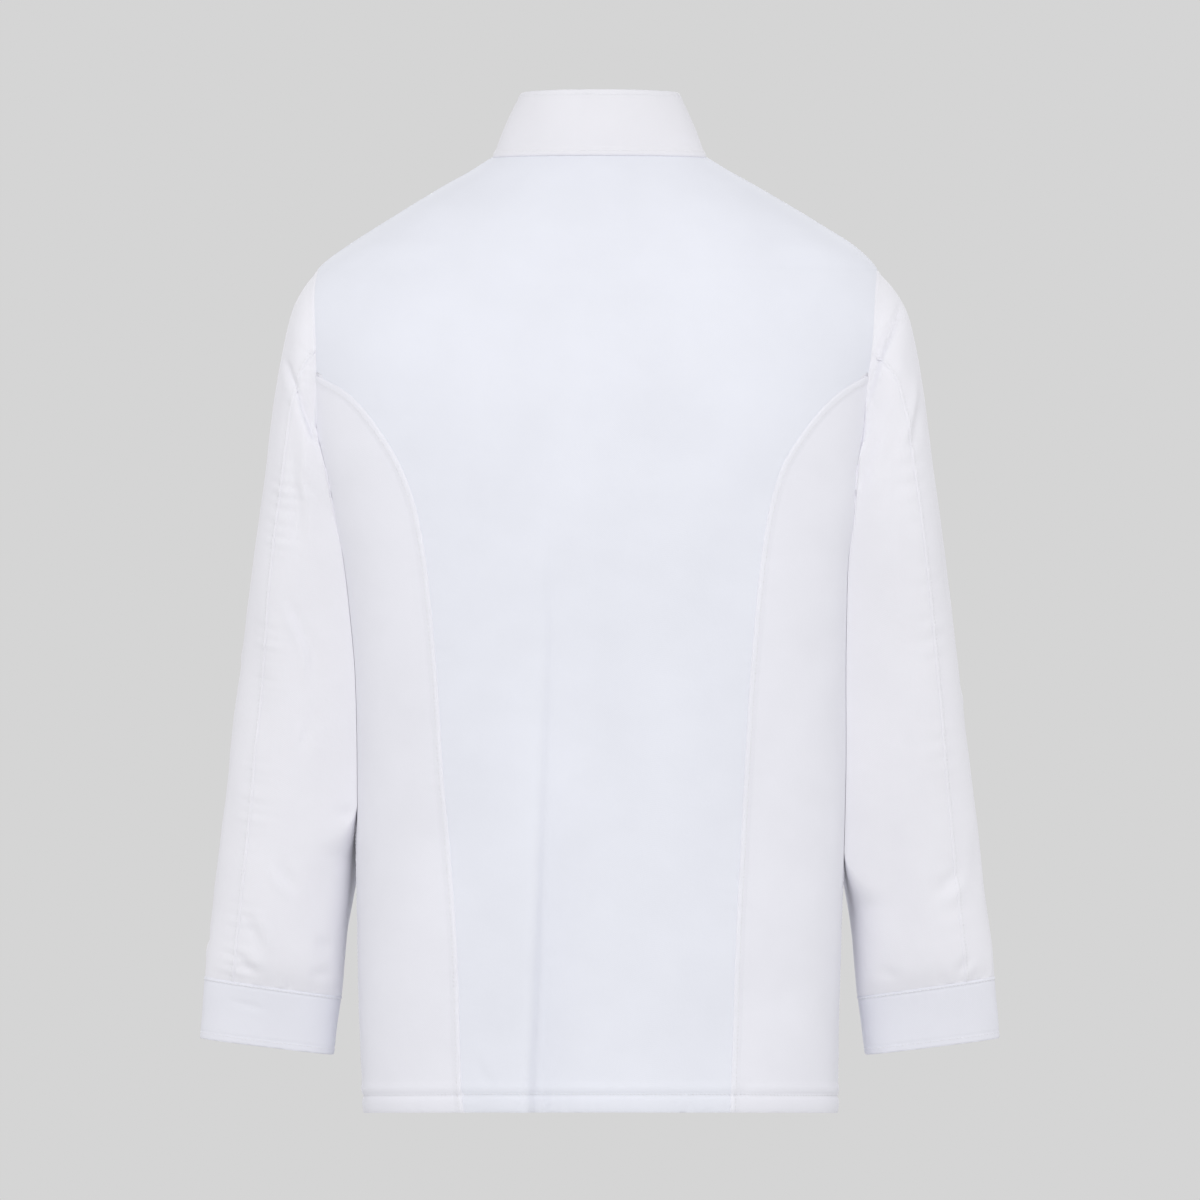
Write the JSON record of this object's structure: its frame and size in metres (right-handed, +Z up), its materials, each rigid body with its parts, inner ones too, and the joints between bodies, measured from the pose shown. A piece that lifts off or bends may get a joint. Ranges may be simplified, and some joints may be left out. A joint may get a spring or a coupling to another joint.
{
  "type": "chef_jacket",
  "caption": "Plain white double-breasted chef jacket with stand collar and long cuffed sleeves, hollow and filled out as worn",
  "frame": {"origin": "middle of the neck seam at the height of the neck points, where the wearer's neck and shoulders carry the jacket", "axes": "+Z up, +X to the wearer's left, +Y to the back, so the front faces -Y"},
  "size_m": [0.6416, 0.2719, 0.8174],
  "materials": {
    "back_cloth": "matte",
    "side_cloth": "matte",
    "front_cloth": "matte",
    "collar_cloth": "matte",
    "sleeve_cloth": "matte",
    "cuff_cloth": "matte",
    "button_plastic": "satin"
  },
  "bodies": {
    "root": {"back_centre": "back_cloth", "side_back_left": "side_cloth", "side_back_right": "side_cloth", "front_left": "front_cloth", "front_right": "front_cloth", "collar": "collar_cloth", "upper_sleeve_left": "sleeve_cloth", "upper_sleeve_right": "sleeve_cloth", "under_sleeve_left": "sleeve_cloth", "under_sleeve_right": "sleeve_cloth", "cuff_left": "cuff_cloth", "cuff_right": "cuff_cloth", "button_left_1": "button_plastic", "button_left_2": "button_plastic", "button_left_3": "button_plastic", "button_left_4": "button_plastic", "button_left_5": "button_plastic", "button_right_1": "button_plastic", "button_right_2": "button_plastic", "button_right_3": "button_plastic", "button_right_4": "button_plastic", "button_right_5": "button_plastic"}
  },
  "joints": []
}
